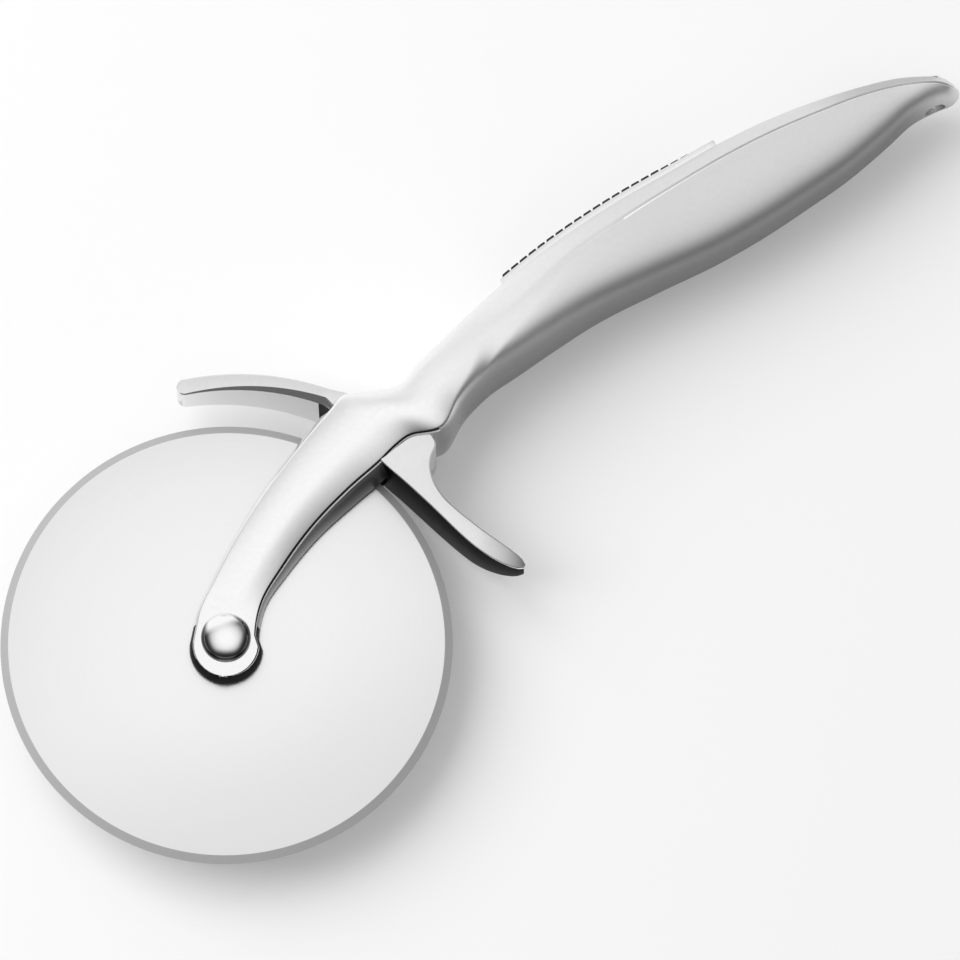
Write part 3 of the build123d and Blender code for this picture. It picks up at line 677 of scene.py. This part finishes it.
# Materials: each is one procedural shader on object coordinates
finishes = {
    # runs are millimetres from the axle. Painted shades: share of the tone, direction that the surface
    # turns to, how far for start and end, and the runs over which the painted shade comes or goes
    "castFace": {
        "color": (0.95, 0.95, 0.955), "rough": 0.12, "grain": 900, "bump": 0.012,
        "toneRun": (86, 138), "farTone": 0.83, "roughRun": (58, 90), "farRough": 0.42,
        # painted shade on the belly side, on the spine side and on the tail's facet
        "paintedShades": (
            (0.30, (0.5, -0.866, 0), 0.38, 1.0, ((60, 68), (214, 192))),
            (0.45, (-0.5, 0.866, 0), 0.86, 0.98, ((100, 195),)),
            (0.72, (-0.5, 0.866, 0), 0.4, 0.65, ((178, 196),)),
        ),
    },
    # painted highlight: the bright line on the fork's edge and one side of the groove
    "castGlint": {"color": (0.97, 0.97, 0.975), "rough": 0.4, "grain": 900, "bump": 0.012, "metallic": 0.5},
    "castWing": {"color": (0.80, 0.80, 0.805), "rough": 0.14, "grain": 900, "bump": 0.012},
    # painted shade on the fork's walls, deepening towards the root of the fork
    "castWall": {
        "color": (0.36, 0.36, 0.363), "rough": 0.3, "grain": 900, "bump": 0.03,
        "toneRun": (18, 54), "farTone": 0.2,
    },
    # painted shade: the dark line on the fork's edge, the low rim of the hub and the right wing's front
    "castShade": {"color": (0.035, 0.035, 0.036), "rough": 0.3, "grain": 900, "bump": 0.03, "edge": 0.45},
    # painted shade on the blade towards its rim and towards the low right
    "bladeFace": {"color": (0.96, 0.96, 0.965), "rough": 0.30, "rim": 0.93, "low": 0.88},
    "bladeEdge": {"color": (0.42, 0.42, 0.425), "rough": 0.55, "metallic": 0.15},
    "rivet": {
        "color": (0.98, 0.98, 0.985), "rough": 0.12, "grain": 1500, "bump": 0.01,
        # painted shade round the sides of the dome
        "paintedShades": (
            (0.16, (-0.95, -0.3, 0), 0.4, 0.66, ()), (0.16, (0.95, -0.3, 0), 0.4, 0.66, ()),
            (0.16, (0, -1, 0), 0.4, 0.72, ()),
        ),
    },
    "bright": {"color": (0.88, 0.88, 0.89), "rough": 0.15, "grain": 1500, "bump": 0.01},
    "brass": {"color": (0.72, 0.52, 0.24), "rough": 0.30, "grain": 1200, "bump": 0.05},
    "screw": {"color": (0.42, 0.42, 0.43), "rough": 0.35, "grain": 1600, "bump": 0.06},
    "nylon": {"color": (0.82, 0.81, 0.78), "rough": 0.55, "grain": 700, "bump": 0.08, "metallic": 0},
    "rubber": {"color": (0.018, 0.018, 0.02), "rough": 0.62, "grain": 2600, "bump": 0.25, "metallic": 0},
}


def startMaterial(name, color, rough, metallic):
    material = bpy.data.materials.new(name)
    material.use_nodes = True
    nodes, links = material.node_tree.nodes, material.node_tree.links
    shader = nodes["Principled BSDF"]
    shader.inputs["Base Color"].default_value = (*color, 1)
    shader.inputs["Roughness"].default_value = rough
    shader.inputs["Metallic"].default_value = metallic
    return material, nodes, links, shader


def alongLine(nodes, links, source, start, direction, low, high):
    # how far a place or normal lies along a direction, smoothed from 0 at low to 1 at high
    shift = nodes.new("ShaderNodeVectorMath")
    shift.operation = "SUBTRACT"
    shift.inputs[1].default_value = start
    along = nodes.new("ShaderNodeVectorMath")
    along.operation = "DOT_PRODUCT"
    along.inputs[1].default_value = direction
    ramp = nodes.new("ShaderNodeMapRange")
    ramp.interpolation_type = "SMOOTHSTEP"
    ramp.inputs["From Min"].default_value = low
    ramp.inputs["From Max"].default_value = high
    links.new(source, shift.inputs[0])
    links.new(shift.outputs["Vector"], along.inputs[0])
    links.new(along.outputs["Value"], ramp.inputs["Value"])
    return ramp


def fadeTone(nodes, links, tone, ramp, share):
    # the tone goes down to this share of itself as the ramp goes up
    darker = nodes.new("ShaderNodeMix")
    darker.data_type = "RGBA"
    darker.blend_type = "MULTIPLY"
    darker.inputs["B"].default_value = (share, share, share, 1)
    links.new(ramp.outputs[0], darker.inputs["Factor"])
    links.new(tone.outputs["Result"], darker.inputs["A"])
    return darker


def runRamp(nodes, links, place, ends):
    # from the hub towards the tail, between two distances
    turn = (cos(pi / 4), sin(pi / 4), 0)
    return alongLine(nodes, links, place.outputs["Object"], axle, turn, ends[0] * mm, ends[1] * mm)


def grainMaterial(
    name, color, rough, grain, bump, metallic=1, edge=1, toneRun=None, farTone=1, roughRun=None, farRough=1,
    paintedShades=(),
):
    # fine noise in roughness, tone and height. Along the run from the hub to the tail the
    # polish may dull and the tone may darken, which on the walls is painted shade, and the painted shades
    # darken the tone where the metal turns away to a side.
    material, nodes, links, shader = startMaterial(name, color, rough, metallic)
    shader.inputs["Specular Tint"].default_value = (edge, edge, edge, 1)
    place = nodes.new("ShaderNodeTexCoord")
    fine = nodes.new("ShaderNodeTexNoise")
    fine.inputs["Scale"].default_value = grain
    fine.inputs["Detail"].default_value = 3
    broad = nodes.new("ShaderNodeTexNoise")
    broad.inputs["Scale"].default_value = grain / 30
    broad.inputs["Detail"].default_value = 2
    links.new(place.outputs["Object"], fine.inputs["Vector"])
    links.new(place.outputs["Object"], broad.inputs["Vector"])
    spread = nodes.new("ShaderNodeMapRange")
    spread.inputs["To Min"].default_value = rough * 0.85
    spread.inputs["To Max"].default_value = rough * 1.15
    links.new(broad.outputs["Fac"], spread.inputs["Value"])
    links.new(spread.outputs["Result"], shader.inputs["Roughness"])
    tone = nodes.new("ShaderNodeMix")
    tone.data_type = "RGBA"
    tone.inputs["A"].default_value = (*(v * 0.96 for v in color), 1)
    tone.inputs["B"].default_value = (*(min(1, v * 1.03) for v in color), 1)
    links.new(fine.outputs["Fac"], tone.inputs["Factor"])
    if toneRun:
        tone = fadeTone(nodes, links, tone, runRamp(nodes, links, place, toneRun), farTone)
    if roughRun:
        dull = nodes.new("ShaderNodeMix")
        dull.inputs["B"].default_value = farRough
        links.new(runRamp(nodes, links, place, roughRun).outputs["Result"], dull.inputs["Factor"])
        links.new(spread.outputs["Result"], dull.inputs["A"])
        links.new(dull.outputs["Result"], shader.inputs["Roughness"])
    for share, turn, low, high, runs in paintedShades:
        ramp = alongLine(nodes, links, place.outputs["Normal"], (0, 0, 0), turn, low, high)
        for run in runs:
            both = nodes.new("ShaderNodeMath")
            both.operation = "MULTIPLY"
            links.new(ramp.outputs[0], both.inputs[0])
            links.new(runRamp(nodes, links, place, run).outputs["Result"], both.inputs[1])
            ramp = both
        tone = fadeTone(nodes, links, tone, ramp, share)
    links.new(tone.outputs["Result"], shader.inputs["Base Color"])
    relief = nodes.new("ShaderNodeBump")
    relief.inputs["Strength"].default_value = bump
    relief.inputs["Distance"].default_value = 0.0001
    links.new(fine.outputs["Fac"], relief.inputs["Height"])
    links.new(relief.outputs["Normal"], shader.inputs["Normal"])
    return material


def groundMaterial(name, color, rough, metallic=1, rim=1, low=1):
    # steel ground in circles about the axle, with painted shade: its tone falls to shares at the rim and at
    # the low right
    material, nodes, links, shader = startMaterial(name, color, rough, metallic)
    place = nodes.new("ShaderNodeTexCoord")
    shift = nodes.new("ShaderNodeVectorMath")
    shift.operation = "SUBTRACT"
    shift.inputs[1].default_value = (axle.x, axle.y, 0)
    flat = nodes.new("ShaderNodeVectorMath")
    flat.operation = "MULTIPLY"
    flat.inputs[1].default_value = (1, 1, 0)
    radius = nodes.new("ShaderNodeVectorMath")
    radius.operation = "LENGTH"
    split = nodes.new("ShaderNodeSeparateXYZ")
    turn = nodes.new("ShaderNodeMath")
    turn.operation = "ARCTAN2"
    circle = nodes.new("ShaderNodeCombineXYZ")
    rings = nodes.new("ShaderNodeTexNoise")
    rings.inputs["Scale"].default_value = 1
    rings.inputs["Detail"].default_value = 4
    stretch = nodes.new("ShaderNodeVectorMath")
    stretch.operation = "MULTIPLY"
    stretch.inputs[1].default_value = (9000, 3, 1)
    links.new(place.outputs["Object"], shift.inputs[0])
    links.new(shift.outputs["Vector"], flat.inputs[0])
    links.new(flat.outputs["Vector"], radius.inputs[0])
    links.new(flat.outputs["Vector"], split.inputs["Vector"])
    links.new(split.outputs["Y"], turn.inputs[0])
    links.new(split.outputs["X"], turn.inputs[1])
    links.new(radius.outputs["Value"], circle.inputs["X"])
    links.new(turn.outputs["Value"], circle.inputs["Y"])
    links.new(circle.outputs["Vector"], stretch.inputs[0])
    links.new(stretch.outputs["Vector"], rings.inputs["Vector"])
    spread = nodes.new("ShaderNodeMapRange")
    spread.inputs["To Min"].default_value = rough * 0.8
    spread.inputs["To Max"].default_value = rough * 1.2
    links.new(rings.outputs["Fac"], spread.inputs["Value"])
    links.new(spread.outputs["Result"], shader.inputs["Roughness"])
    tone = nodes.new("ShaderNodeMix")
    tone.data_type = "RGBA"
    tone.inputs["A"].default_value = (*(v * 0.96 for v in color), 1)
    tone.inputs["B"].default_value = (*(min(1, v * 1.03) for v in color), 1)
    links.new(rings.outputs["Fac"], tone.inputs["Factor"])
    # painted shade towards the rim
    ramp = nodes.new("ShaderNodeMapRange")
    ramp.inputs["From Min"].default_value = 0.4 * blade["radius"] * mm
    ramp.inputs["From Max"].default_value = blade["radius"] * mm
    links.new(radius.outputs["Value"], ramp.inputs["Value"])
    tone = fadeTone(nodes, links, tone, ramp, rim)
    # painted shade towards the low right
    slope = alongLine(nodes, links, place.outputs["Object"], axle, (0.4, -0.92, 0), 0, blade["radius"] * mm)
    tone = fadeTone(nodes, links, tone, slope, low)
    links.new(tone.outputs["Result"], shader.inputs["Base Color"])
    relief = nodes.new("ShaderNodeBump")
    relief.inputs["Strength"].default_value = 0.02
    relief.inputs["Distance"].default_value = 0.00005
    links.new(rings.outputs["Fac"], relief.inputs["Height"])
    links.new(relief.outputs["Normal"], shader.inputs["Normal"])
    return material


materials = {}
for finishName, settings in finishes.items():
    make = grainMaterial if "grain" in settings else groundMaterial
    materials[finishName] = make(finishName, **settings)


def dress(piece, finishNames, chooser=None):
    # the chooser gives each face its place in the list of finishes
    places = [chooser(face) if chooser else 0 for face in piece.data.polygons]
    piece.data.materials.clear()
    for finishName in finishNames:
        piece.data.materials.append(materials[finishName])
    for face, place in zip(piece.data.polygons, places):
        face.material_index = place


def axleReach(face):
    return hypot(face.center.x - axle.x, face.center.y - axle.y) / mm


def onBevel(face):
    return int(axleReach(face) > blade["radius"] - blade["bevel"])


def onShell(face):
    # painted shade on the marked walls and on the low rim of the hub, and the marked painted highlights
    low = axleReach(face) < castBody["hubReach"] and face.center.y < axle.y + castBody["hubRise"] * mm
    return 2 if low and abs(face.normal.z) < 0.6 else face.material_index


def onWingFront(face):
    # the right wing's faces towards the wheel, which get painted shade
    outward = Vector((face.center.x - axle.x, face.center.y - axle.y, 0))
    return int(abs(face.normal.z) < 0.42 and face.normal.dot(outward) < 0 and face.center.x > axle.x + 0.02)


# the shells' painted wall shade, painted deep shade and painted highlights
for shell in (frontShell, rearShell):
    dress(shell, ("castFace", "castWall", "castShade", "castGlint"), onShell)
dress(fingerGuard, ("castWing", "castShade"), onWingFront)
dress(bladeDisc, ("bladeFace", "bladeEdge"), onBevel)
for piece in (frontHead, rearHead):
    dress(piece, ("rivet",))
for piece in (padRim, hangEyelet):
    dress(piece, ("bright",))
dress(thumbPad, ("rubber",))
for nodeName, finishName in (
    ("front_bush", "brass"), ("rear_bush", "brass"), ("front_washer", "nylon"), ("rear_washer", "nylon"),
    ("shell_screws", "screw"), ("locating_dowels", "screw"),
):
    for placeInList in frame["nodes"][nodeName].material_slots:
        placeInList.material = materials[finishName]
print("materials made")


# Table, light and camera
studio = {
    "floorSize": 6.0, "floorTone": 0.9, "floorGlow": 0.15,
    "keyPlace": (-1.05, 0.4, 1.3), "keySize": 1.7, "keyPower": 26.0, "fill": 0.78,
    "ceiling": 0.99, "ceilingFrom": 0.3, "ceilingTo": 1.03,
    "wallTurn": (-0.35, 0.94, 0), "wallFrom": 0.5, "wallTo": 0.85, "dimWall": 0.15, "brightWall": 0.97,
    "tilt": 16.0, "distance": 2.0, "aim": (56.91, 38.286, 0), "fieldTurn": 6.2035,
}


def makeFloor():
    clearSelection()
    bpy.ops.mesh.primitive_plane_add(size=studio["floorSize"], location=(0, 0, 0))
    floor = bpy.context.object
    floor.name = "table"
    material = bpy.data.materials.new("table")
    material.use_nodes = True
    nodes, links = material.node_tree.nodes, material.node_tree.links
    nodes.remove(nodes["Principled BSDF"])
    matte = nodes.new("ShaderNodeBsdfDiffuse")
    matte.inputs["Color"].default_value = (*[studio["floorTone"]] * 3, 1)
    glow = nodes.new("ShaderNodeEmission")
    ray = nodes.new("ShaderNodeLightPath")
    seen = nodes.new("ShaderNodeMath")
    seen.operation = "MAXIMUM"
    clear = nodes.new("ShaderNodeMath")
    clear.operation = "MAXIMUM"
    part = nodes.new("ShaderNodeMath")
    part.operation = "MULTIPLY"
    part.inputs[1].default_value = studio["floorGlow"]
    blend = nodes.new("ShaderNodeMixShader")
    links.new(ray.outputs["Is Camera Ray"], seen.inputs[0])
    links.new(ray.outputs["Is Glossy Ray"], seen.inputs[1])
    links.new(seen.outputs["Value"], clear.inputs[0])
    links.new(ray.outputs["Is Transmission Ray"], clear.inputs[1])
    links.new(clear.outputs["Value"], part.inputs[0])
    links.new(part.outputs["Value"], blend.inputs["Fac"])
    links.new(matte.outputs["BSDF"], blend.inputs[1])
    links.new(glow.outputs["Emission"], blend.inputs[2])
    links.new(blend.outputs["Shader"], nodes["Material Output"].inputs["Surface"])
    floor.data.materials.append(material)


def makeSky():
    # a studio: white ceiling, one bright wall, the others dim, and plain white where the
    # camera looks past the table
    world = bpy.data.worlds.new("studio")
    bpy.context.scene.world = world
    world.use_nodes = True
    nodes, links = world.node_tree.nodes, world.node_tree.links
    room = nodes["Background"]
    plain = nodes.new("ShaderNodeBackground")
    plain.inputs["Color"].default_value = (1, 1, 1, 1)
    place = nodes.new("ShaderNodeTexCoord")
    split = nodes.new("ShaderNodeSeparateXYZ")
    facing = nodes.new("ShaderNodeVectorMath")
    facing.operation = "DOT_PRODUCT"
    facing.inputs[1].default_value = studio["wallTurn"]
    wall = nodes.new("ShaderNodeMapRange")
    wall.interpolation_type = "SMOOTHSTEP"
    wall.inputs["From Min"].default_value = studio["wallFrom"]
    wall.inputs["From Max"].default_value = studio["wallTo"]
    wall.inputs["To Min"].default_value = studio["dimWall"]
    wall.inputs["To Max"].default_value = studio["brightWall"]
    rise = nodes.new("ShaderNodeMapRange")
    rise.interpolation_type = "SMOOTHSTEP"
    rise.inputs["From Min"].default_value = studio["ceilingFrom"]
    rise.inputs["From Max"].default_value = studio["ceilingTo"]
    tone = nodes.new("ShaderNodeMix")
    tone.inputs["B"].default_value = studio["ceiling"]
    ray = nodes.new("ShaderNodeLightPath")
    blend = nodes.new("ShaderNodeMixShader")
    # the room lights matte surfaces less than it shows in the metal, so the key gives the shadow
    spread = nodes.new("ShaderNodeMapRange")
    spread.inputs["To Min"].default_value = 1
    spread.inputs["To Max"].default_value = studio["fill"]
    links.new(ray.outputs["Is Diffuse Ray"], spread.inputs["Value"])
    links.new(spread.outputs["Result"], room.inputs["Strength"])
    links.new(place.outputs["Generated"], split.inputs["Vector"])
    links.new(place.outputs["Generated"], facing.inputs[0])
    links.new(facing.outputs["Value"], wall.inputs["Value"])
    links.new(split.outputs["Z"], rise.inputs["Value"])
    links.new(rise.outputs["Result"], tone.inputs["Factor"])
    links.new(wall.outputs["Result"], tone.inputs["A"])
    links.new(tone.outputs["Result"], room.inputs["Color"])
    links.new(ray.outputs["Is Camera Ray"], blend.inputs["Fac"])
    links.new(room.outputs["Background"], blend.inputs[1])
    links.new(plain.outputs["Background"], blend.inputs[2])
    links.new(blend.outputs["Shader"], nodes["World Output"].inputs["Surface"])


def makeKey():
    clearSelection()
    bpy.ops.object.light_add(type="AREA", location=studio["keyPlace"])
    key = bpy.context.object
    key.data.energy = studio["keyPower"]
    key.data.size = studio["keySize"]
    key.visible_glossy = False         # it gives the shadow, the room gives the reflections
    key.rotation_euler = (-Vector(studio["keyPlace"])).to_track_quat("-Z", "Y").to_euler()


def makeCamera():
    tilt = radians(studio["tilt"])
    back = Vector((0, -sin(tilt), cos(tilt)))
    target = toScene(*studio["aim"])
    clearSelection()
    bpy.ops.object.camera_add(location=target + back * studio["distance"])
    camera = bpy.context.object
    camera.rotation_euler = (-back).to_track_quat("-Z", "Y").to_euler()
    camera.data.sensor_width = 36
    camera.data.lens = 18 / tan(radians(studio["fieldTurn"] / 2))
    camera.data.clip_end = 20
    bpy.context.scene.camera = camera


makeFloor()
makeSky()
makeKey()
makeCamera()
bpy.context.scene.view_settings.view_transform = "Standard"
print("table, light and camera set")
